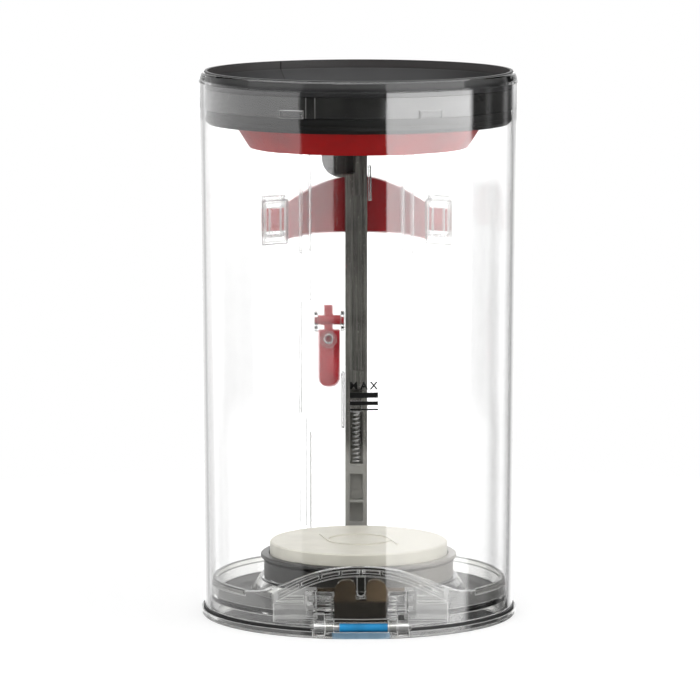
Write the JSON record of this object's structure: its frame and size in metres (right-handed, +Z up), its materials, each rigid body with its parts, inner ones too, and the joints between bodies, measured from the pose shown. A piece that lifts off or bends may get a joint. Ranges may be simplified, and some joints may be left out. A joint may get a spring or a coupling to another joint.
{
  "type": "cyclone dust bin",
  "caption": "Clear round dust bin of a stick vacuum with a hinged sealing base, a sprung release rod on its back, a rocking latch and a soft funnel collar in its mouth.",
  "frame": {"origin": "centre of the base door's foot ring, on the bin's axis", "axes": "+Z up along the bin's axis, -Y to the hinge at the front, +Y to the rails at the back"},
  "size_m": [0.117, 0.1248, 0.2004],
  "materials": {
    "clear_plastic": "clear polished moulding",
    "black_plastic": "fine satin",
    "black_rubber": "soft satin",
    "red_plastic": "satin gloss",
    "dark_plastic": "fine grain",
    "soft_clear": "soft translucent",
    "grey_rubber": "soft matt",
    "cream_plastic": "satin",
    "smoked_plastic": "smoked",
    "blue_plastic": "gloss",
    "steel": "drawn wire"
  },
  "bodies": {
    "bin": {"bin_cylinder": "clear_plastic", "collar_carrier": "black_plastic", "collar_funnel": "black_rubber", "wiper_ring": "red_plastic", "rod_saddle": "red_plastic", "hinge_shield": "smoked_plastic", "hinge_sleeve": "blue_plastic", "hinge_pin": "steel", "catch_pin": "steel", "rod_spring": "steel", "kick_spring_left": "steel", "kick_spring_right": "steel", "latch_spring": "steel", "catch_spring": "steel"},
    "door": {"base_door": "clear_plastic", "base_gasket": "black_rubber", "door_lip_seal": "soft_clear", "dust_cup": "grey_rubber", "seal_disc": "cream_plastic"},
    "rod": {"release_rod": "dark_plastic"},
    "catch": {"door_catch": "dark_plastic"},
    "latch": {"runner_latch": "red_plastic"}
  },
  "joints": [
    {"name": "door_hinge", "type": "hinge", "parent": "bin", "child": "door", "pos_m": [0, -0.0548, 0.0038], "axis": [-1, 0, 0], "range_deg": [0, 95]},
    {"name": "rod_slide", "type": "slide", "parent": "bin", "child": "rod", "axis": [0, 0, 1], "range_m": [0, 0.008], "stiffness_N_per_m": 150, "springref_m": -0.004, "deforming": ["rod_spring"]},
    {"name": "catch_pivot", "type": "hinge", "parent": "bin", "child": "catch", "pos_m": [0, 0.0622, 0.017], "axis": [1, 0, 0], "range_deg": [0, 12]},
    {"name": "latch_rock", "type": "hinge", "parent": "bin", "child": "latch", "pos_m": [-0.01045, 0.0616, 0.1011], "axis": [-1, 0, 0], "range_deg": [0, 8], "stiffness_Nm_per_rad": 0.06, "springref_deg": -8.59, "deforming": ["latch_spring"]}
  ],
  "couplings": [
    {"joint": "catch_pivot", "follows": "rod_slide", "rad_per_m": 26.18}
  ]
}
